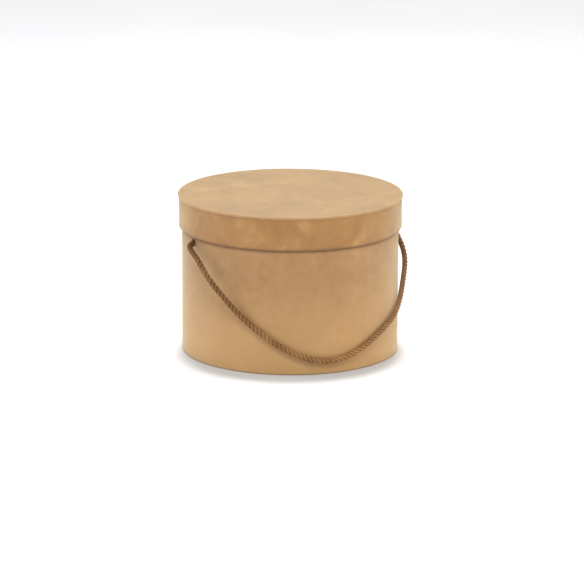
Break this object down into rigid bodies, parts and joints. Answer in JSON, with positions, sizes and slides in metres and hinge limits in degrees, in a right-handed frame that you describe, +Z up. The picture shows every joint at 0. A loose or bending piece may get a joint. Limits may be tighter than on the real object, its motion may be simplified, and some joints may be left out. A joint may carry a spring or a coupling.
{
  "type": "hat box",
  "caption": "Round covered board hat box with a push-on lid and a twisted cord handle that hangs in front.",
  "frame": {"origin": "centre of the base, on the surface that the box stands on", "axes": "+Z up along the drum's axis; the cord handle hangs at the front, -Y; the holes are on the X axis; the seams are at the back, +Y"},
  "size_m": [0.2711, 0.2572, 0.18],
  "materials": {
    "covering": "soft nubuck nap",
    "greyboard": "plain board",
    "tape": "gummed kraft paper",
    "lining": "uncoated lining paper",
    "cord": "twisted yarn with a slight sheen"
  },
  "bodies": {
    "box": {"wall_board": "greyboard", "wall_seam_tape": "tape", "base_board": "greyboard", "base_joint_tape": "tape", "wall_wrap": "covering", "base_sheet": "tape", "wall_lining": "lining", "base_lining": "lining", "cord_knot_left": "cord", "cord_knot_right": "cord"},
    "lid": {"lid_board": "greyboard", "lid_hoop": "greyboard", "lid_hoop_tape": "tape", "lid_joint_tape": "tape", "lid_top_cover": "covering", "lid_band": "covering", "lid_hoop_lining": "lining", "lid_lining": "lining"},
    "handle": {"handle_cord": "cord"}
  },
  "joints": [
    {"name": "lid_lift", "type": "slide", "parent": "box", "child": "lid", "axis": [0, 0, 1], "range_m": [0, 0.15]},
    {"name": "handle_swing", "type": "hinge", "parent": "box", "child": "handle", "pos_m": [0, 0, 0.1355], "axis": [-1, 0, 0], "range_deg": [0, 255]}
  ]
}
